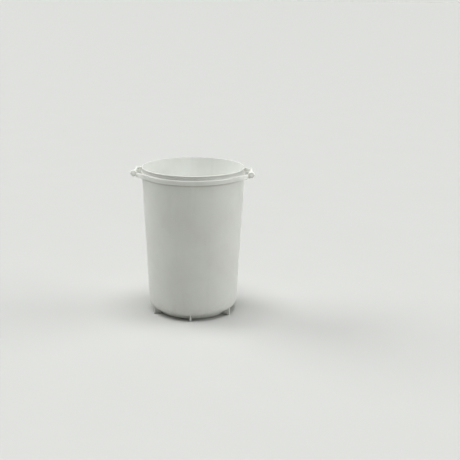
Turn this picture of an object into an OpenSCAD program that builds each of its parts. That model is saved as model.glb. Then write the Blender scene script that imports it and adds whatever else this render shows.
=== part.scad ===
// Florist bucket: a tapered round tub on six fin feet, with a collar and two roll-grip handles.
// Millimetres, +Z up, origin on the floor at the middle of the tub, handles on the X axis.

/* [Tub] */
// Diameter over the rim lip
rim_d = 400; // [360:1:440]
// Height from the floor to the top of the lip
total_h = 580; // [520:1:640]
// Wall diameter where the straight taper meets the base plane
base_d = 347; // [320:1:350]
// Thickness of the moulded wall
wall_t = 2.5; // [2.5:0.5:4]
// Height over which the wall's inside thickens up to the rim band
blend_h = 60; // [40:5:80]
// Outer radius of the corner between wall and floor
corner_r = 27; // [20:1:32]
// Height of the tub's underside above the ground
ground_gap = 17; // [12:1:22]

/* [Rim and collar] */
// Height of the rim lip
lip_h = 6; // [5:0.5:8]
// How far the lip stands out from the band below it
lip_out = 2.5; // [2:0.5:4]
// Distance from the top of the lip down to the top of the collar
collar_drop = 18; // [14:1:24]
// Height of the collar skirt
collar_h = 18; // [14:1:24]
// Diameter over the collar
collar_d = 406; // [404:1:410]
// Thickness of the collar's top flange
flange_t = 3; // [2.5:0.5:4]
// Thickness of the collar's skirt
skirt_t = 2.4; // [2:0.1:2.6]

/* [Handles] */
// Distance from the tub's axis to the grip's axis
grip_x = 226; // [223:0.5:230]
// Height of the grip's axis below the top of the lip
grip_drop = 21; // [20:0.5:23]
// Length of a handle from its front boss to its back eye
grip_len = 124; // [116:1:132]
// Diameter of the round boss at the handle's front end
boss_d = 26; // [24:0.5:27]
// Length of the front boss
boss_len = 14; // [12:1:16]
// Diameter of the eye at the handle's back end
back_eye_d = 13; // [12:0.5:14]
// Length of the back eye
back_eye_len = 8; // [7:1:10]
// Diameter of the roll grips
roll_d = 11; // [10.5:0.5:13]
// Thickness of the rib between the two roll grips
rib_t = 4; // [3:1:5]
// Length of the rib's eye round the spindle
eye_len = 6; // [5:1:8]
// Diameter of the rib's eye
eye_d = 12; // [11:0.5:13]
// Diameter of the steel spindle
spindle_d = 6; // [5:0.5:7]
// Thickness of a handle arm
arm_t = 5; // [4:0.5:6]
// Distance past the tangent point at which an arm starts to stand out of the collar
arm_lead = 12; // [8:1:20]
// Radius of the lower corner where an arm or a rib ends under the grip
arm_corner = 8; // [4:1:9]

/* [Feet] */
// Diameter over the outer edges of the fins
fin_d = 345; // [340:1:346]
// Thickness of a fin
fin_t = 7; // [5:0.5:8]
// Diameter over the foot ring
ring_d = 284; // [270:1:290]
// Thickness of the foot ring
ring_t = 4; // [3:0.5:5]
// Height of the foot ring's lower edge above the ground
ring_gap = 3; // [2:0.5:5]

/* [Hidden] */
$fn = 96;
round_steps = 180;
fin_count = 6;
arc_steps = 10;
edge_steps = 4;
slack = 1;

// Tub
rim_r = rim_d / 2;
base_r = base_d / 2;
collar_top = total_h - collar_drop;
collar_bottom = collar_top - collar_h;
collar_r = collar_d / 2;
shoulder_z = collar_top - flange_t;
taper = atan((rim_r - base_r) / (collar_top - ground_gap));
band_r = rim_r - lip_out;
corner_x = base_r + corner_r * tan(taper) - corner_r / cos(taper);
corner_z = ground_gap + corner_r;
inner_corner_r = corner_r - wall_t;
band_start_z = shoulder_z - blend_h;
lip_edge = lip_out / 2;

// Handles
grip_z = total_h - grip_drop;
boss_r = boss_d / 2;
end_y = grip_len / 2;
boss_in_y = end_y - boss_len;
back_eye_in_y = end_y - back_eye_len;
spindle_r = spindle_d / 2;
running_gap = 0.08;
end_gap = 0.4;
roll_edge = 1.5;
cap_r = boss_r - 3;
cap_t = 3;
cap_recess = 1.5;
cap_seat_y = end_y - cap_recess - cap_t;
eye_wall = 2;
blind_end_y = end_y - eye_wall;
arm_circle_r = collar_r - arm_t / 2;
front_tip = [grip_x - 2 / 3 * boss_r, end_y - 0.6 * boss_len];
back_tip = [grip_x - spindle_r, end_y - back_eye_len / 2];

// Outer wall radius at height z, along the straight taper
function wall_r(z) = base_r + (z - ground_gap) * tan(taper);

// Points of an arc about c, from angle a0 to a1
function arc(c, r, a0, a1, n) = [for (i = [0 : n]) c + r * [cos(a0 + (a1 - a0) * i / n), sin(a0 + (a1 - a0) * i / n)]];

module white_plastic() {
    color([0.86, 0.87, 0.84]) children();
}

// The inside skin is the outside one moved in by the wall's thickness
module shell_profile() {
    outside = concat(
        [[0, ground_gap]],
        arc([corner_x, corner_z], corner_r, -90, -taper, arc_steps),
        [[wall_r(shoulder_z), shoulder_z], [band_r, shoulder_z], [band_r, total_h - lip_h]],
        arc([rim_r - lip_edge, total_h - lip_h + lip_edge], lip_edge, -90, 0, edge_steps),
        arc([rim_r - lip_edge, total_h - lip_edge], lip_edge, 0, 90, edge_steps));
    inside = concat(
        arc([band_r - wall_t + lip_edge, total_h - lip_edge], lip_edge, 90, 180, edge_steps),
        [[band_r - wall_t, shoulder_z + flange_t], [wall_r(band_start_z) - wall_t / cos(taper), band_start_z]],
        arc([corner_x, corner_z], inner_corner_r, -taper, -90, arc_steps),
        [[0, ground_gap + wall_t]]);
    polygon(concat(outside, inside));
}

module bucket_shell() {
    white_plastic() rotate_extrude($fn = round_steps) shell_profile();
}

module collar_ring() {
    white_plastic() rotate_extrude($fn = round_steps) polygon(concat(
        [[band_r, shoulder_z], [collar_r - skirt_t, shoulder_z], [collar_r - skirt_t, collar_bottom]],
        arc([collar_r - lip_edge, collar_bottom + lip_edge], lip_edge, -90, 0, edge_steps),
        arc([collar_r - lip_out, collar_top - lip_out], lip_out, 0, 90, edge_steps),
        [[band_r, collar_top]]));
}

// Solid tub outline, used to trim what stands under it
module tub_solid() {
    rotate_extrude($fn = round_steps) polygon(concat(
        [[0, ground_gap]],
        arc([corner_x, corner_z], corner_r, -90, -taper, arc_steps),
        [[wall_r(corner_z + corner_r), corner_z + corner_r], [0, corner_z + corner_r]]));
}

module foot_ring() {
    white_plastic() difference() {
        translate([0, 0, ring_gap]) cylinder(h = ground_gap - ring_gap, d = ring_d, $fn = round_steps);
        translate([0, 0, ring_gap - slack]) cylinder(h = ground_gap, d = ring_d - 2 * ring_t, $fn = round_steps);
    }
}

// One radial fin, with its top trimmed to the tub's rounded corner
module foot_fin(index) {
    fin_angle = -90 + 360 / fin_count * (index - 1);
    white_plastic() rotate([0, 0, fin_angle]) difference() {
        translate([0, -fin_t / 2, 0]) cube([fin_d / 2, fin_t, corner_z]);
        tub_solid();
        translate([0, 0, -slack]) cylinder(h = corner_z, d = ring_d, $fn = round_steps);
    }
}

// A cylinder lying along Y, from y0 to y1, on the right grip's axis
module on_grip(y0, y1, r) {
    translate([grip_x, y1, grip_z]) rotate([90, 0, 0]) cylinder(h = y1 - y0, r = r);
}

// The collar's outside as a solid, used to trim what is joined to it
module collar_core() {
    translate([0, 0, collar_bottom - slack]) cylinder(h = collar_h + 2 * slack, r = collar_r, $fn = round_steps);
}

// A straight upright plate from point p to point q, as tall as the skirt, with its lower corner rounded at q
module plate(p, q, t) {
    run = q - p;
    reach = norm(run);
    translate([p.x, p.y, collar_bottom]) rotate([0, 0, atan2(run.y, run.x)]) translate([0, t / 2, 0]) rotate([90, 0, 0])
        linear_extrude(height = t) polygon(concat(
            [[0, collar_h], [0, 0]],
            arc([reach - arm_corner, arm_corner], arm_corner, -90, 0, arc_steps),
            [[reach, collar_h]]));
}

// Where a plate that ends at the tip touches the collar's circle
function tangent_turn(tip) = atan2(tip.y, tip.x) + acos(arm_circle_r / norm(tip));
function tangent_point(tip) = arm_circle_r * [cos(tangent_turn(tip)), sin(tangent_turn(tip))];
function unit(v) = v / norm(v);

// A plate that leaves the collar along its tangent and ends in the boss or eye that holds a spindle's end
module handle_arm(tip, inner_y, r, bore_y) {
    root = tangent_point(tip) + arm_lead * unit(tip - tangent_point(tip));
    difference() {
        union() {
            plate(root, tip, arm_t);
            on_grip(inner_y, end_y, r);
        }
        collar_core();
        on_grip(inner_y - slack, bore_y, spindle_r);
    }
}

// The boss is open to the front, where the spindle goes in and the cap closes it
module front_arm() {
    front() white_plastic() difference() {
        handle_arm(front_tip, boss_in_y, boss_r, end_y);
        on_grip(cap_seat_y, end_y + slack, cap_r);
    }
}

module back_arm() {
    white_plastic() handle_arm(back_tip, back_eye_in_y, back_eye_d / 2, blind_end_y);
}

// A thin radial rib with an eye round the middle of the spindle
module handle_rib() {
    white_plastic() difference() {
        union() {
            plate([collar_r - slack, 0], [grip_x, 0], rib_t);
            on_grip(-eye_len / 2, eye_len / 2, eye_d / 2);
        }
        collar_core();
        on_grip(-eye_len, eye_len, spindle_r);
    }
}

module grip_spindle() {
    color("silver") on_grip(-cap_seat_y, blind_end_y, spindle_r);
}

// A plastic tube with rounded ends that turns on the spindle, from the rib's eye to the arm at end_face
module grip_roll(end_face) {
    y0 = eye_len / 2 + end_gap;
    y1 = end_face - end_gap;
    inner = spindle_r + running_gap;
    translate([grip_x, y0, grip_z]) rotate([-90, 0, 0]) white_plastic() rotate_extrude() polygon(concat(
        [[inner, 0]],
        arc([roll_d / 2 - roll_edge, roll_edge], roll_edge, -90, 0, edge_steps),
        arc([roll_d / 2 - roll_edge, y1 - y0 - roll_edge], roll_edge, 0, 90, edge_steps),
        [[inner, y1 - y0]]));
}

module end_cap() {
    front() white_plastic() on_grip(cap_seat_y, cap_seat_y + cap_t, cap_r);
}

module front() {
    mirror([0, 1, 0]) children();
}

module left() {
    mirror([1, 0, 0]) children();
}

bucket_shell();
collar_ring();
foot_ring();
foot_fin(1);  // foot_fin_1
foot_fin(2);  // foot_fin_2
foot_fin(3);  // foot_fin_3
foot_fin(4);  // foot_fin_4
foot_fin(5);  // foot_fin_5
foot_fin(6);  // foot_fin_6
front_arm();  // handle_arm_right_front
back_arm();  // handle_arm_right_back
left() front_arm();  // handle_arm_left_front
left() back_arm();  // handle_arm_left_back
handle_rib();  // handle_rib_right
left() handle_rib();  // handle_rib_left
grip_spindle();  // grip_spindle_right
left() grip_spindle();  // grip_spindle_left
front() grip_roll(boss_in_y);  // grip_roll_right_front
grip_roll(back_eye_in_y);  // grip_roll_right_back
left() front() grip_roll(boss_in_y);  // grip_roll_left_front
left() grip_roll(back_eye_in_y);  // grip_roll_left_back
end_cap();  // end_cap_right
left() end_cap();  // end_cap_left
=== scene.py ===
"""Florist bucket: the visual model on the CAD frame, in metres, +Z up, with the handles on the X axis."""

import math

import bpy
from mathutils import Matrix, Vector


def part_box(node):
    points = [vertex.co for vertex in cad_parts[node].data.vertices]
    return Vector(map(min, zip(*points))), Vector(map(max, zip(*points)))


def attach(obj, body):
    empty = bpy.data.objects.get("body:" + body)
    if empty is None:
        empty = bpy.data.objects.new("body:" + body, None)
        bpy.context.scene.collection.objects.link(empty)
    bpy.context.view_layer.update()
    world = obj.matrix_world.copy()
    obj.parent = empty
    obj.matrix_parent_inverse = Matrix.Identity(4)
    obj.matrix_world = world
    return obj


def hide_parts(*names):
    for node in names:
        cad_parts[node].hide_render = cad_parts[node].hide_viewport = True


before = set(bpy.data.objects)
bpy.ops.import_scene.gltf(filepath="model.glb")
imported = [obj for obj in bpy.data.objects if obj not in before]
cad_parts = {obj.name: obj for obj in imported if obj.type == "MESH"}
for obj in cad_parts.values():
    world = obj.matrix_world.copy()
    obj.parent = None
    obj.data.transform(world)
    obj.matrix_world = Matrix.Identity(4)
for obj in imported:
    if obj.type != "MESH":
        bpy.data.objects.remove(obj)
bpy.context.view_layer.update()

# ---------------------------------------------------------------- camera

CAMERA_PLACE = (0.2114, -3.3194, 1.2166)
CAMERA_YAW = math.radians(1.134)
CAMERA_PITCH = math.radians(15.029)
CAMERA_ROLL = math.radians(0.718)
CAMERA_LENS = 67.93


def make_camera():
    data = bpy.data.cameras.new("camera")
    data.lens = CAMERA_LENS
    data.sensor_width = 36.0
    data.clip_end = 1000.0
    camera = bpy.data.objects.new("camera", data)
    bpy.context.scene.collection.objects.link(camera)
    turn = Matrix.Rotation(CAMERA_YAW, 4, "Z") @ Matrix.Rotation(math.pi / 2 - CAMERA_PITCH, 4, "X")
    camera.matrix_world = Matrix.Translation(CAMERA_PLACE) @ turn @ Matrix.Rotation(CAMERA_ROLL, 4, "Z")
    bpy.context.scene.camera = camera


make_camera()

# ---------------------------------------------------------------- sizes, from the frame

ROUND = 192
MM = 0.001

shell_low, shell_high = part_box("bucket_shell")
collar_low, collar_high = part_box("collar_ring")
ring_low, ring_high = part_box("foot_ring")
fin_low, fin_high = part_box("foot_fin_1")
back_roll_low, back_roll_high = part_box("grip_roll_right_back")
front_roll_low, front_roll_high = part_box("grip_roll_right_front")
front_arm_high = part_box("handle_arm_right_front")[1]
back_arm_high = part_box("handle_arm_right_back")[1]
cap_low, cap_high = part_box("end_cap_right")
rib_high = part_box("handle_rib_right")[1]
spindle_low, spindle_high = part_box("grip_spindle_right")

RIM_R = shell_high.x
TOP_Z = shell_high.z
BASE_Z = shell_low.z
COLLAR_R = collar_high.x
COLLAR_TOP = collar_high.z
COLLAR_BOTTOM = collar_low.z
RING_R = ring_high.x
RING_Z = ring_low.z
FIN_R = -fin_low.y
FIN_T = fin_high.x - fin_low.x
GRIP_X = (back_roll_low.x + back_roll_high.x) / 2
GRIP_Z = (back_roll_low.z + back_roll_high.z) / 2
ROLL_R = (back_roll_high.z - back_roll_low.z) / 2
BOSS_R = front_arm_high.z - GRIP_Z
BACK_EYE_R = back_arm_high.z - GRIP_Z
CAP_R = (cap_high.z - cap_low.z) / 2
EYE_R = rib_high.z - GRIP_Z
EYE_HALF = rib_high.y
SPINDLE_R = (spindle_high.z - spindle_low.z) / 2
ROLL_GAP = 0.4 * MM
BOSS_IN = -front_roll_low.y + ROLL_GAP
BACK_EYE_IN = back_roll_high.y + ROLL_GAP
END_Y = spindle_high.y + 2.0 * MM
ARM_T = 5.0 * MM
RIB_T = 4.0 * MM
PLATE_CORNER = 8.0 * MM


def rings(node):
    """Radius and height of each corner point of a round CAD node."""
    return [(math.hypot(v.co.x, v.co.y), v.co.z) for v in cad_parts[node].data.vertices]


SHELL_RINGS = rings("bucket_shell")
WALL_LOW = max(p for p in SHELL_RINGS if p[1] < BASE_Z + 0.05)
WALL_HIGH = max(p for p in SHELL_RINGS if p[1] < COLLAR_TOP - 1.0 * MM)
TAPER = math.atan2(WALL_HIGH[0] - WALL_LOW[0], WALL_HIGH[1] - WALL_LOW[1])
CORNER_R = (WALL_LOW[1] - BASE_Z) / (1.0 - math.sin(TAPER))
CORNER = (WALL_LOW[0] - CORNER_R * math.cos(TAPER), BASE_Z + CORNER_R)
WALL_T = 2.5 * MM
LIP_OUT = 2.5 * MM
LIP_R = 3.0 * MM
FLANGE_T = 3.0 * MM
BLEND_H = 60.0 * MM
BAND_R = RIM_R - LIP_OUT


def wall_r(z):
    """Outer radius of the tapered wall at a height."""
    return WALL_LOW[0] + (z - WALL_LOW[1]) * math.tan(TAPER)


# ---------------------------------------------------------------- mesh helpers


def arc(centre, radius, start, end, steps):
    """Points of an arc in a profile's plane, angles in degrees."""
    turns = [math.radians(start + (end - start) * i / steps) for i in range(steps + 1)]
    return [(centre[0] + radius * math.cos(t), centre[1] + radius * math.sin(t)) for t in turns]


def crown(centre, start, across, rise, steps):
    """A quarter ellipse from the side of a turned end to its face."""
    turns = [math.pi / 2 * i / steps for i in range(steps + 1)]
    return [(centre + across * math.cos(t), start + rise * math.sin(t)) for t in turns]


def line(p, q, steps):
    """Points from p towards q, without q."""
    return [(p[0] + (q[0] - p[0]) * i / steps, p[1] + (q[1] - p[1]) * i / steps) for i in range(steps)]


def tidy(profile):
    """The profile without points that fall on the one before."""
    kept = [profile[0]]
    for p in profile[1:]:
        if math.dist(p, kept[-1]) > 1e-6:
            kept.append(p)
    return kept


def merged(*parts):
    """Several meshes as one."""
    vertices, faces = [], []
    for some_vertices, some_faces in parts:
        start = len(vertices)
        vertices += some_vertices
        faces += [[i + start for i in face] for face in some_faces]
    return vertices, faces


def lathe(profile, closed, steps=ROUND):
    """A profile of (radius, height) points turned about Z. Points on the axis become one vertex."""
    vertices, rows = [], []
    for radius, height in profile:
        if radius < 1e-6:
            rows.append([len(vertices)] * steps)
            vertices.append(Vector((0.0, 0.0, height)))
            continue
        rows.append(list(range(len(vertices), len(vertices) + steps)))
        for i in range(steps):
            t = 2 * math.pi * i / steps
            vertices.append(Vector((radius * math.cos(t), radius * math.sin(t), height)))
    faces = []
    for low, high in zip(rows, rows[1:] + rows[:1]) if closed else zip(rows, rows[1:]):
        for i in range(steps):
            j = (i + 1) % steps
            corners = [low[i], low[j], high[j], high[i]]
            kept = [c for n, c in enumerate(corners) if c not in corners[:n]]
            if len(kept) > 2:
                faces.append(kept)
    return vertices, faces


def grip_lathe(profile, closed, steps=64):
    """A profile of (radius, distance along Y) points turned about the right grip's axis."""
    vertices, faces = lathe(profile, closed, steps)
    return [Vector((GRIP_X + v.x, v.z, GRIP_Z - v.y)) for v in vertices], faces


def loft(loops):
    """Skins a list of loops with the same number of points, and closes both ends."""
    count = len(loops[0])
    vertices = [Vector(p) for loop in loops for p in loop]
    faces = [list(range(count))[::-1], list(range(len(vertices) - count, len(vertices)))]
    for row in range(len(loops) - 1):
        for i in range(count):
            j = (i + 1) % count
            a, b = row * count, (row + 1) * count
            faces.append([a + i, a + j, b + j, b + i])
    return vertices, faces


def inset(outline, distance):
    """A closed outline, counter-clockwise, moved inwards by the distance."""
    points = [Vector(p) for p in outline]
    moved = []
    for i, p in enumerate(points):
        before = (p - points[i - 1]).normalized()
        after = (points[(i + 1) % len(points)] - p).normalized()
        n0, n1 = Vector((-before.y, before.x)), Vector((-after.y, after.x))
        middle = n0 + n1
        moved.append(p + middle * (distance * 2.0 / max(middle.length_squared, 0.8)))
    return moved


def slab(outline, thickness, edge, place, steps=3):
    """An outline given thickness, with rounded edges. place(x, y, depth) turns a point into one in space."""
    half = thickness / 2
    turns = [math.pi / 2 * i / steps for i in range(steps + 1)]
    rims = [(edge * (1 - math.sin(t)), -half + edge * (1 - math.cos(t))) for t in turns]
    rims += [(gap, -depth) for gap, depth in reversed(rims)]
    return loft([[place(p.x, p.y, depth) for p in inset(outline, gap)] for gap, depth in rims])


def round_box(u0, u1, v0, v1, radius, steps=3):
    """Corner-rounded rectangle, counter-clockwise."""
    r = min(radius, (u1 - u0) * 0.49, (v1 - v0) * 0.49)
    corners = ((u1 - r, v0 + r, -90), (u1 - r, v1 - r, 0), (u0 + r, v1 - r, 90), (u0 + r, v0 + r, 180))
    return [p for u, v, a in corners for p in arc((u, v), r, a, a + 90, steps)]


def mirrored(mesh_data, axis):
    """The same mesh on the other side, with its faces turned so that they still point outwards."""
    vertices, faces = mesh_data
    flip = Vector([-1.0 if i == axis else 1.0 for i in range(3)])
    return [v * flip for v in vertices], [face[::-1] for face in faces]


def make_piece(name, mesh_data, node, material, slot, body="bucket", sharp=32.0, **tints):
    """A new piece in place of one CAD node, on its body. A tint, painted shade or painted light, is 0 to 1
    at a point.
    """
    vertices, faces = mesh_data
    mesh = bpy.data.meshes.new(name)
    mesh.from_pydata([tuple(v) for v in vertices], [], faces)
    mesh.validate()
    mesh.update()
    mesh.shade_smooth()
    mesh.set_sharp_from_angle(angle=math.radians(sharp))
    mesh.materials.append(material)
    for tint, amount in tints.items():
        values = mesh.attributes.new(tint, "FLOAT", "POINT").data
        for vertex, value in zip(mesh.vertices, values):
            value.value = amount(vertex.co)
    piece = bpy.data.objects.new(name, mesh)
    bpy.context.scene.collection.objects.link(piece)
    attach(piece, body)
    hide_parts(node)
    return piece


# ---------------------------------------------------------------- materials


class Nodes:
    """Short calls for building one material's node tree."""

    def __init__(self, name):
        self.material = bpy.data.materials.new(name)
        self.material.use_nodes = True
        self.tree = self.material.node_tree
        self.shader = self.tree.nodes["Principled BSDF"]
        self.place = self.tree.nodes.new("ShaderNodeTexCoord").outputs["Object"]

    def link(self, source, target):
        self.tree.links.new(source, target)

    def scaled(self, scale):
        node = self.tree.nodes.new("ShaderNodeMapping")
        node.inputs["Scale"].default_value = scale
        self.link(self.place, node.inputs["Vector"])
        return node.outputs["Vector"]

    def noise(self, scale, detail=3.0, roughness=0.55, stretch=(1.0, 1.0, 1.0), warp=0.0):
        node = self.tree.nodes.new("ShaderNodeTexNoise")
        node.inputs["Scale"].default_value = scale
        node.inputs["Detail"].default_value = detail
        node.inputs["Roughness"].default_value = roughness
        node.inputs["Distortion"].default_value = warp
        self.link(self.scaled(stretch), node.inputs["Vector"])
        return node.outputs["Fac"]

    def math(self, operation, a, b=None, clamp=False):
        node = self.tree.nodes.new("ShaderNodeMath")
        node.operation = operation
        node.use_clamp = clamp
        for value, socket in zip((a, b), node.inputs):
            if value is None:
                continue
            if isinstance(value, (int, float)):
                socket.default_value = value
            else:
                self.link(value, socket)
        return node.outputs["Value"]

    def attribute(self, name):
        node = self.tree.nodes.new("ShaderNodeAttribute")
        node.attribute_name = name
        return node.outputs["Fac"]

    def height(self):
        node = self.tree.nodes.new("ShaderNodeSeparateXYZ")
        self.link(self.place, node.inputs["Vector"])
        return node.outputs["Z"]

    def span(self, value, low, high, out_low=0.0, out_high=1.0):
        node = self.tree.nodes.new("ShaderNodeMapRange")
        node.interpolation_type = "SMOOTHSTEP"
        self.link(value, node.inputs["Value"])
        numbers = {"From Min": low, "From Max": high, "To Min": out_low, "To Max": out_high}
        for socket, number in numbers.items():
            node.inputs[socket].default_value = number
        return node.outputs["Result"]

    def ramp(self, value, stops):
        node = self.tree.nodes.new("ShaderNodeValToRGB")
        while len(node.color_ramp.elements) < len(stops):
            node.color_ramp.elements.new(0.5)
        for element, (position, colour) in zip(node.color_ramp.elements, stops):
            element.position = position
            element.color = (*colour, 1.0)
        self.link(value, node.inputs["Fac"])
        return node.outputs["Color"]

    def mix(self, amount, a, b):
        node = self.tree.nodes.new("ShaderNodeMix")
        node.data_type = "RGBA"
        self.link(amount, node.inputs["Factor"])
        for value, socket in ((a, node.inputs[6]), (b, node.inputs[7])):
            if isinstance(value, tuple):
                socket.default_value = (*value, 1.0)
            else:
                self.link(value, socket)
        return node.outputs[2]

    def bump(self, layers):
        """Stacks (height, strength, distance in metres) layers."""
        last = None
        for height, strength, distance in layers:
            node = self.tree.nodes.new("ShaderNodeBump")
            node.inputs["Strength"].default_value = strength
            node.inputs["Distance"].default_value = distance
            self.link(height, node.inputs["Height"])
            if last is not None:
                self.link(last, node.inputs["Normal"])
            last = node.outputs["Normal"]
        self.link(last, self.shader.inputs["Normal"])


def make_plastic(name, tone):
    """Moulded polyethylene: cloudy, with flow streaks, orange peel, rubbed patches and dust specks; painted
    light lifts the handle parts and painted shade darkens the wall under the hem and lip and inside the
    skirt.
    """
    n = Nodes(name)
    light = tuple(min(1.0, c * 1.045) for c in tone)
    dark = tuple(c * (0.945 + 0.008 * i) for i, c in enumerate(tone[::-1]))[::-1]
    clouds = n.noise(7.0, 4.0, 0.6, warp=0.4)
    colour = n.ramp(clouds, ((0.30, dark), (0.52, tone), (0.74, light)))
    # Painted light: this tint lifts the colour of the handle parts towards white, in place of the light they
    # catch.
    painted_light_amount = n.math("MULTIPLY", n.attribute("solid"), 0.85)
    colour = n.mix(painted_light_amount, colour, tuple(c * 1.42 for c in tone))
    flow = n.noise(34.0, 3.0, 0.5, stretch=(1.0, 1.0, 0.045))
    colour = n.mix(n.span(flow, 0.52, 0.80, 0.0, 0.38), colour, tuple(c * 0.90 for c in tone))
    rub = n.noise(150.0, 2.0, 0.6, stretch=(1.0, 1.0, 0.06))
    rubbed = n.span(rub, 0.60, 0.74, 0.0, 1.0)
    colour = n.mix(n.math("MULTIPLY", rubbed, 0.22), colour, light)
    specks = n.span(n.noise(420.0, 1.0, 0.5), 0.74, 0.80, 0.0, 0.45)
    colour = n.mix(specks, colour, tuple(c * 0.72 for c in tone))
    low = n.span(n.height(), 0.0, 0.085, 1.0, 0.0)
    grime = n.math("MULTIPLY", low, n.span(n.noise(46.0, 4.0, 0.65), 0.38, 0.68))
    colour = n.mix(n.math("MULTIPLY", grime, 0.30), colour, (tone[0] * 0.62, tone[1] * 0.59, tone[2] * 0.50))
    # Painted shade: this tint darkens the colour under the skirt's hem, under the lip and inside the skirt,
    # where the overhangs throw shade.
    soil = n.math("MULTIPLY", n.attribute("soil"), n.span(n.noise(30.0, 3.0, 0.6), 0.25, 0.60, 0.75, 1.0))
    colour = n.mix(soil, colour, (tone[0] * 0.66, tone[1] * 0.65, tone[2] * 0.60))
    n.link(colour, n.shader.inputs["Base Color"])
    gloss = n.span(n.noise(18.0, 4.0, 0.6), 0.30, 0.72, 0.34, 0.47)
    gloss = n.math("ADD", gloss, n.math("MULTIPLY", rubbed, 0.10))
    gloss = n.math("ADD", gloss, n.math("MULTIPLY", grime, 0.22), clamp=True)
    n.link(gloss, n.shader.inputs["Roughness"])
    n.bump((
        (n.noise(5.0, 2.0, 0.5, stretch=(1.0, 1.0, 0.5)), 0.35, 0.0022),
        (n.noise(90.0, 2.0, 0.5), 0.25, 0.00022),
        (n.noise(950.0, 2.0, 0.5), 0.30, 0.00004),
        (rub, 0.10, 0.00008),
    ))
    n.shader.inputs["IOR"].default_value = 1.49
    n.shader.inputs["Specular IOR Level"].default_value = 0.5
    n.shader.inputs["Subsurface Weight"].default_value = 0.10
    n.shader.inputs["Subsurface Radius"].default_value = (1.0, 0.9, 0.8)
    n.shader.inputs["Subsurface Scale"].default_value = 0.0008
    return n.material


def make_steel(name):
    """Turned steel rod: fine rings round its axis, with dull patches."""
    n = Nodes(name)
    turned = n.noise(900.0, 2.0, 0.6, stretch=(0.03, 1.0, 0.03))
    patches = n.noise(60.0, 3.0, 0.6)
    colour = n.ramp(patches, ((0.35, (0.42, 0.42, 0.43)), (0.62, (0.60, 0.60, 0.61))))
    n.link(colour, n.shader.inputs["Base Color"])
    n.link(n.span(turned, 0.3, 0.7, 0.22, 0.40), n.shader.inputs["Roughness"])
    n.bump(((turned, 0.3, 0.00005),))
    n.shader.inputs["Metallic"].default_value = 1.0
    return n.material


plastic = make_plastic("white_plastic", (0.652, 0.662, 0.626))
steel = make_steel("spindle_steel")

# ---------------------------------------------------------------- tub, collar and feet


def shell_profile():
    """The wall's whole profile: from the gate mark out under the floor, up, over the lip and down inside."""
    t = math.degrees(TAPER)
    lip, fillet = LIP_R, 1.2 * MM
    gate_r = 9.0 * MM
    outside = [(0.0, BASE_Z - 1.2 * MM), (1.6 * MM, BASE_Z - 1.2 * MM), (1.9 * MM, BASE_Z - 0.8 * MM)]
    outside += [(2.0 * MM, BASE_Z + 0.5 * MM), (gate_r - 0.6 * MM, BASE_Z + 0.5 * MM)]
    outside += line((gate_r, BASE_Z), (CORNER[0], BASE_Z), 10)
    outside += arc(CORNER, CORNER_R, -90, -t, 24)
    hem_heights = [COLLAR_BOTTOM + rise * MM for rise in (-10, -7, -5, -3, -1.5, 0, 3)]
    hem_rows = [(wall_r(z), z) for z in hem_heights]
    outside += line(WALL_LOW, hem_rows[0], 40)[1:] + hem_rows
    outside += [(WALL_HIGH[0] - 0.05 * MM, WALL_HIGH[1] - 1.0 * MM)]
    outside += [(BAND_R, WALL_HIGH[1]), (BAND_R, COLLAR_TOP)]
    outside += line((BAND_R, COLLAR_TOP + 1.0 * MM), (BAND_R, TOP_Z - 2 * lip - fillet), 3)
    outside += arc((BAND_R + fillet, TOP_Z - 2 * lip - fillet), fillet, 180, 90, 5)
    outside += arc((RIM_R - lip, TOP_Z - lip), lip, -90, 90, 16)
    inner = 1.5 * MM
    inside = arc((BAND_R - WALL_T + inner, TOP_Z - inner), inner, 90, 180, 8)
    blend_z = COLLAR_TOP - FLANGE_T - BLEND_H
    inside += line((BAND_R - WALL_T, TOP_Z - 4 * MM), (BAND_R - WALL_T, COLLAR_TOP), 3)
    inside += line((BAND_R - WALL_T, COLLAR_TOP), (wall_r(blend_z) - WALL_T, blend_z), 6)
    inside += [(wall_r(blend_z) - WALL_T, blend_z)]
    inner_corner_r = CORNER_R - WALL_T
    low_inside = arc(CORNER, inner_corner_r, -t, -90, 1)[0]
    inside += line(inside[-1], low_inside, 40)[1:]
    inside += arc(CORNER, inner_corner_r, -t, -90, 20)
    inside += line((CORNER[0], BASE_Z + WALL_T), (0.0, BASE_Z + WALL_T), 10)[1:] + [(0.0, BASE_Z + WALL_T)]
    return tidy(outside + inside)


def collar_profile():
    """A step ring: a top flange with a rolled outer edge and a skirt with a rounded hem."""
    skirt, flange, roll, fillet = 2.4 * MM, FLANGE_T, 3.8 * MM, 1.4 * MM
    hem = skirt / 2
    inner = BAND_R - 0.6 * MM
    points = [(inner, COLLAR_TOP - flange), (COLLAR_R - skirt - fillet, COLLAR_TOP - flange)]
    points += arc((COLLAR_R - skirt - fillet, COLLAR_TOP - flange - fillet), fillet, 90, 0, 5)[1:]
    skirt_r = COLLAR_R - skirt
    points += line((skirt_r, COLLAR_TOP - flange - fillet), (skirt_r, COLLAR_BOTTOM + hem), 3)
    points += arc((COLLAR_R - hem, COLLAR_BOTTOM + hem), hem, 180, 360, 10)
    points += line((COLLAR_R, COLLAR_BOTTOM + hem), (COLLAR_R, COLLAR_TOP - roll), 4)[1:]
    points += arc((COLLAR_R - roll, COLLAR_TOP - roll), roll, 0, 90, 8)
    root = COLLAR_R - roll - BAND_R
    points += arc((BAND_R + root, COLLAR_TOP + root), root, 270, 180, 6)[1:]
    return tidy(points + [(inner, COLLAR_TOP + root)])


def foot_ring_profile():
    """A thin ring with a rounded lower edge, reaching a little into the floor above it."""
    thickness, edge = 4.0 * MM, 1.0 * MM
    inner = RING_R - thickness
    points = [(inner, BASE_Z + 1.2 * MM)] + line((inner, BASE_Z), (inner, RING_Z + edge), 3)
    points += arc((inner + edge, RING_Z + edge), edge, 180, 270, 5)
    points += arc((RING_R - edge, RING_Z + edge), edge, 270, 360, 5)
    return tidy(points + [(RING_R, BASE_Z), (RING_R, BASE_Z + 1.2 * MM)])


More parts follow.
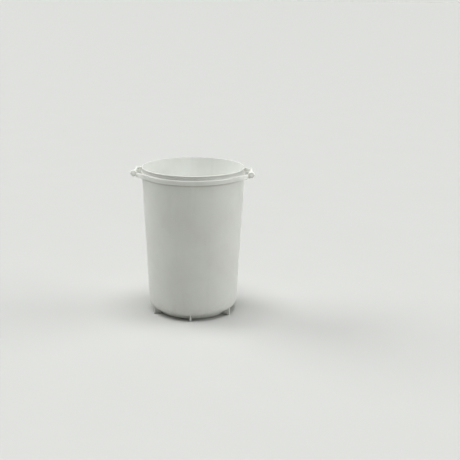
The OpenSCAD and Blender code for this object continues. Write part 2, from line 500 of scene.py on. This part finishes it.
def fin_outline():
    """Distance from the axis and height. The upper edge follows the tub's corner, just inside its wall."""
    deep = 1.4 * MM
    corner_r = CORNER_R - deep
    foot = 1.6 * MM
    meet = math.degrees(math.acos((FIN_R - CORNER[0]) / corner_r)) if FIN_R - CORNER[0] < corner_r else 0.0
    points = [(RING_R - 1.5 * MM, foot)]
    points += arc((RING_R + 1.5 * MM, foot), foot, 180, 270, 4)
    points += arc((FIN_R - foot, foot), foot, 270, 360, 5)
    points += arc(CORNER, corner_r, -meet, -90, 14)
    return tidy(points + [(RING_R - 1.5 * MM, BASE_Z + deep)])


def fin(index):
    """A thin radial plate, a little thinner at its foot than at its top."""
    turn = Matrix.Rotation(math.radians(-90 + 60 * (index - 1)), 3, "Z")

    def place(x, y, depth):
        draft = 0.86 + 0.14 * min(1.0, y / CORNER[1])
        return turn @ Vector((x, -depth * draft, y))

    return slab(fin_outline(), FIN_T, 0.7 * MM, place)


# ---------------------------------------------------------------- handles, built at the right and back


def arm_plan(tip, tip_gap):
    """Where an arm leaves the collar's circle, the way it runs and how far, for a tip on its middle line."""
    middle_r = COLLAR_R - ARM_T / 2
    turn = math.atan2(tip.y, tip.x) + math.acos(middle_r / tip.length)
    outward = Vector((math.cos(turn), math.sin(turn)))
    start = outward * COLLAR_R
    way = Vector((outward.y, -outward.x))
    return start, way, outward, (tip - outward * middle_r).dot(way) + tip_gap


def arm_plate(tip, tip_gap=0.0):
    """The arm grows out of the skirt along its tangent and ends with a rounded lower corner."""
    start, way, outward, reach = arm_plan(tip, tip_gap)
    corner, edge = PLATE_CORNER, 1.0 * MM
    stations = [reach * i / 26 for i in range(2, 25)]
    stations += [reach - corner + corner * math.sin(math.pi / 2 * i / 8) for i in range(9)]
    loops = []
    for s in sorted(set(round(s, 6) for s in stations)):
        gap = COLLAR_R - math.sqrt(max(COLLAR_R**2 - s**2, 0.0))
        thick = min(ARM_T, gap + 0.9 * MM)
        into = max(0.0, s - (reach - corner))
        lift = corner - math.sqrt(max(corner**2 - into**2, 0.0))
        lift = min(lift, corner - 0.4 * MM)
        loop = round_box(-thick, 0.0, COLLAR_BOTTOM + lift, COLLAR_TOP, edge)
        base = start + way * s
        loops.append([(base.x + outward.x * u, base.y + outward.y * u, v) for u, v in loop])
    vertices, faces = loft(loops)
    return vertices, [face[::-1] for face in faces]


def front_arm():
    """Built as if at the back: the big boss, open at its end for the spindle and the cap."""
    edge, nose = 2.4 * MM, 5.0 * MM
    seat = -cap_high.y
    profile = [(SPINDLE_R, BOSS_IN), (BOSS_R - edge, BOSS_IN)]
    profile += arc((BOSS_R - edge, BOSS_IN + edge), edge, -90, 0, 6)[1:]
    profile += crown(BOSS_R - edge, END_Y - nose, edge, nose, 10)
    profile += arc((CAP_R + 0.6 * MM, END_Y - 0.6 * MM), 0.6 * MM, 90, 180, 4)
    profile += [(CAP_R, seat), (SPINDLE_R, seat)]
    tip = Vector((GRIP_X - BOSS_R * 2 / 3, END_Y - 0.6 * (END_Y - BOSS_IN)))
    return merged(arm_plate(tip), grip_lathe(profile, True, 96))


def back_arm():
    """A slim arm that ends in a small closed eye."""
    edge = 1.0 * MM
    profile = [(0.0, spindle_high.y), (SPINDLE_R, spindle_high.y), (SPINDLE_R, BACK_EYE_IN)]
    profile += arc((BACK_EYE_R - 0.6 * MM, BACK_EYE_IN + 0.6 * MM), 0.6 * MM, -90, 0, 4)
    profile += arc((BACK_EYE_R - edge, END_Y - edge), edge, 0, 90, 5) + [(0.0, END_Y)]
    tip = Vector((GRIP_X - SPINDLE_R, END_Y - (END_Y - BACK_EYE_IN) / 2))
    return merged(arm_plate(tip), grip_lathe(tidy(profile), False, 64))


def rib():
    """The plate between the two rolls, with the eye that holds the spindle's middle."""
    corner = PLATE_CORNER
    x0, x1 = COLLAR_R - 1.2 * MM, GRIP_X
    outline = [(x0, COLLAR_TOP), (x0, COLLAR_BOTTOM)]
    outline += line((x0 + 2 * MM, COLLAR_BOTTOM), (x1 - corner, COLLAR_BOTTOM), 4)
    outline += arc((x1 - corner, COLLAR_BOTTOM + corner), corner, -90, 0, 12) + [(x1, COLLAR_TOP)]
    plate = slab(outline, RIB_T, 0.8 * MM, lambda x, z, depth: Vector((x, -depth, z)))
    edge = 0.6 * MM
    profile = [(SPINDLE_R, -EYE_HALF)] + arc((EYE_R - edge, -EYE_HALF + edge), edge, -90, 0, 4)
    profile += arc((EYE_R - edge, EYE_HALF - edge), edge, 0, 90, 4) + [(SPINDLE_R, EYE_HALF)]
    return merged(plate, grip_lathe(tidy(profile), True))


def spindle():
    """A plain pin with chamfered ends."""
    chamfer = 0.5 * MM
    y0, y1 = spindle_low.y, spindle_high.y
    profile = [(0.0, y0), (SPINDLE_R - chamfer, y0), (SPINDLE_R, y0 + chamfer)]
    profile += line((SPINDLE_R, y0 + 2 * MM), (SPINDLE_R, y1 - 2 * MM), 12)
    profile += [(SPINDLE_R, y1 - chamfer), (SPINDLE_R - chamfer, y1), (0.0, y1)]
    return grip_lathe(tidy(profile), False, 48)


def roll(low, high):
    """A sleeve with rounded ends and a fine groove near each of them."""
    inner, edge, groove = SPINDLE_R + 0.08 * MM, 1.5 * MM, 0.25 * MM
    y0, y1 = low.y, high.y
    profile = [(inner, y0)] + arc((ROLL_R - edge, y0 + edge), edge, -90, 0, 6)
    for middle in (y0 + 4.5 * MM, y1 - 4.5 * MM):
        profile += [(ROLL_R, middle - 0.6 * MM), (ROLL_R - groove, middle - 0.3 * MM)]
        profile += [(ROLL_R - groove, middle + 0.3 * MM), (ROLL_R, middle + 0.6 * MM)]
    profile += arc((ROLL_R - edge, y1 - edge), edge, 0, 90, 6) + [(inner, y1)]
    return grip_lathe(tidy(profile), True)


def end_cap():
    """A pressed-in button with a low crown and a small gate mark, facing the front."""
    inner_y, outer_y = -cap_high.y, -cap_low.y
    across, root, rise = CAP_R - 0.05 * MM, outer_y - 0.5 * MM, 3.0 * MM
    profile = [(0.0, inner_y), (across, inner_y)] + line((across, inner_y + 1.0 * MM), (across, root), 2)
    profile += crown(0.0, root, across, rise, 14)[:-1]
    gate = root + rise
    profile += [(0.9 * MM, gate - 0.1 * MM), (0.7 * MM, gate + 0.2 * MM), (0.0, gate + 0.25 * MM)]
    return grip_lathe(tidy(profile), False, 64)


def ease(value, low, high):
    """0 below low, 1 above high, and a smooth step between."""
    t = min(1.0, max(0.0, (value - low) / (high - low)))
    return t * t * (3 - 2 * t)


def shell_soil(p):
    """Painted shade on the wall under the skirt's hem and, weaker, in the band under the lip."""
    radius = math.hypot(p.x, p.y)
    if radius < wall_r(p.z) - 1.0 * MM and p.z < COLLAR_TOP:
        return 0.0
    under_hem = ease(p.z, COLLAR_BOTTOM - 8 * MM, COLLAR_BOTTOM - 2 * MM)
    if p.z > COLLAR_TOP - 0.5 * MM:
        rising = ease(p.z, TOP_Z - 9 * MM, TOP_Z - 6.5 * MM)
        under_lip = rising * (1.0 - ease(p.z, TOP_Z - 6 * MM, TOP_Z - 5 * MM))
        return 0.3 * under_lip if radius > BAND_R - 0.5 * MM else 0.0
    return 0.8 * under_hem


def collar_soil(p):
    """Painted shade inside the skirt and along its hem."""
    radius = math.hypot(p.x, p.y)
    inside_skirt = 0.0
    if p.z < COLLAR_TOP - 2 * MM:
        inside_skirt = 1.0 - ease(radius, COLLAR_R - 2.2 * MM, COLLAR_R - 1.0 * MM)
    hem = 1.0 - ease(p.z, COLLAR_BOTTOM, COLLAR_BOTTOM + 1.0 * MM)
    return max(0.6 * inside_skirt, 0.6 * hem)


def make_tub():
    white = (plastic, "white_plastic")
    make_piece("tub_shell", lathe(shell_profile(), False), "bucket_shell", *white, soil=shell_soil)
    make_piece("step_collar", lathe(collar_profile(), True), "collar_ring", *white, soil=collar_soil)
    make_piece("ring_foot", lathe(foot_ring_profile(), True), "foot_ring", *white)
    for index in range(1, 7):
        make_piece(f"fin_foot_{index}", fin(index), f"foot_fin_{index}", *white)


def handle_solid(p):
    """Painted light: the arms get a lighter colour as they leave the collar."""
    return ease(abs(p.x), 0.170, 0.214)


def make_handles():
    white = (plastic, "white_plastic")
    front, back = mirrored(front_arm(), 1), back_arm()
    cap = mirrored(end_cap(), 1)
    for side in ("right", "left"):
        def sided(mesh_data):
            return mesh_data if side == "right" else mirrored(mesh_data, 0)

        # Painted light on every handle part: the arms ramp up, the rib gets 0.6, the rolls 0.7 and the caps
        # 0.85.
        make_piece(f"arm_{side}_front", sided(front), f"handle_arm_{side}_front", *white, solid=handle_solid)
        make_piece(f"arm_{side}_back", sided(back), f"handle_arm_{side}_back", *white, solid=handle_solid)
        make_piece(f"rib_{side}", sided(rib()), f"handle_rib_{side}", *white, solid=lambda p: 0.6)
        make_piece(f"cap_{side}", sided(cap), f"end_cap_{side}", *white, solid=lambda p: 0.85)
        make_piece(f"spindle_{side}", sided(spindle()), f"grip_spindle_{side}", steel, "spindle_steel")
        ends = {"front": (front_roll_low, front_roll_high), "back": (back_roll_low, back_roll_high)}
        for end, box in ends.items():
            make_piece(f"roll_{side}_{end}", sided(roll(*box)), f"grip_roll_{side}_{end}", *white,
                       f"{side}_{end}_roll", solid=lambda p: 0.7)


make_tub()
make_handles()

# ---------------------------------------------------------------- stage and light

FLOOR_RINGS = (0.0, 1.0, 4.0, 20.0, 400.0)
FLOOR_DARK = (0.490, 0.497, 0.480)
FLOOR_LIGHT = (0.498, 0.505, 0.488)
BACKDROP = (0.72, 0.73, 0.70, 1.0)
AMBIENT = (1.0, 1.0, 0.985, 1.0)
AMBIENT_STRENGTH = 0.15
LAMP_COLOUR = (0.955, 0.985, 1.0)

# name: azimuth, elevation and spread in degrees, strength
SUNS = {
    "left_softbox": (-112.0, 34.0, 40.0, 1.52),
    "right_softbox": (98.0, 22.0, 45.0, 1.46),
    "top_softbox": (-20.0, 88.0, 40.0, 2.8),
    "front_fill": (4.0, 3.0, 25.0, 0.30),
}


def make_floor():
    """A pale paper sweep, wide enough that its edge stays far behind every view."""
    n = Nodes("floor_paper")
    colour = n.ramp(n.noise(3.0, 5.0, 0.6), ((0.3, FLOOR_DARK), (0.7, FLOOR_LIGHT)))
    n.link(colour, n.shader.inputs["Base Color"])
    n.shader.inputs["Roughness"].default_value = 0.85
    n.bump(((n.noise(380.0, 3.0, 0.6), 0.12, 0.0003),))
    vertices, faces = lathe([(radius, 0.0) for radius in FLOOR_RINGS], False, 64)
    mesh = bpy.data.meshes.new("floor")
    mesh.from_pydata([tuple(v) for v in vertices], [], faces)
    mesh.materials.append(n.material)
    floor = bpy.data.objects.new("floor", mesh)
    bpy.context.scene.collection.objects.link(floor)


def compass(azimuth, elevation):
    """The way to a light. Azimuth 0 stands in front of the tub (-Y) and 90 to its right (+X)."""
    a, e = math.radians(azimuth), math.radians(elevation)
    return Vector((math.sin(a) * math.cos(e), -math.cos(a) * math.cos(e), math.sin(e)))


def sun(name, azimuth, elevation, spread, strength):
    """A very wide, soft source."""
    data = bpy.data.lights.new(name, "SUN")
    data.energy = strength
    data.angle = math.radians(spread)
    light = bpy.data.objects.new(name, data)
    bpy.context.scene.collection.objects.link(light)
    towards = compass(azimuth, elevation)
    light.location = towards * 6.0
    light.rotation_mode = "QUATERNION"
    light.rotation_quaternion = (-towards).to_track_quat("-Z", "Y")


def lamp_in_tub(place, size, power):
    """A soft lamp hung inside the tub, below the rim, so the inside glows evenly and nothing spills out."""
    data = bpy.data.lights.new("inside_lamp", "POINT")
    data.energy = power
    data.color = LAMP_COLOUR
    data.shadow_soft_size = size
    light = bpy.data.objects.new("inside_lamp", data)
    bpy.context.scene.collection.objects.link(light)
    light.location = place
    light.visible_camera = False


def make_lights():
    """Wide soft lights, the lamp in the tub, and a pale world that the camera sees as a backdrop."""
    for name, settings in SUNS.items():
        sun(name, *settings)
    lamp_in_tub((0.03, 0.0, TOP_Z - 0.085), 0.05, 0.62)
    world = bpy.data.worlds.new("studio")
    world.use_nodes = True
    tree = world.node_tree
    ambient = tree.nodes["Background"]
    ambient.inputs["Color"].default_value = AMBIENT
    ambient.inputs["Strength"].default_value = AMBIENT_STRENGTH
    backdrop = tree.nodes.new("ShaderNodeBackground")
    backdrop.inputs["Color"].default_value = BACKDROP
    rays = tree.nodes.new("ShaderNodeLightPath")
    choice = tree.nodes.new("ShaderNodeMixShader")
    tree.links.new(rays.outputs["Is Camera Ray"], choice.inputs["Fac"])
    tree.links.new(ambient.outputs["Background"], choice.inputs[1])
    tree.links.new(backdrop.outputs["Background"], choice.inputs[2])
    tree.links.new(choice.outputs["Shader"], tree.nodes["World Output"].inputs["Surface"])
    bpy.context.scene.world = world


make_floor()
make_lights()
bpy.context.scene.view_settings.view_transform = "Standard"
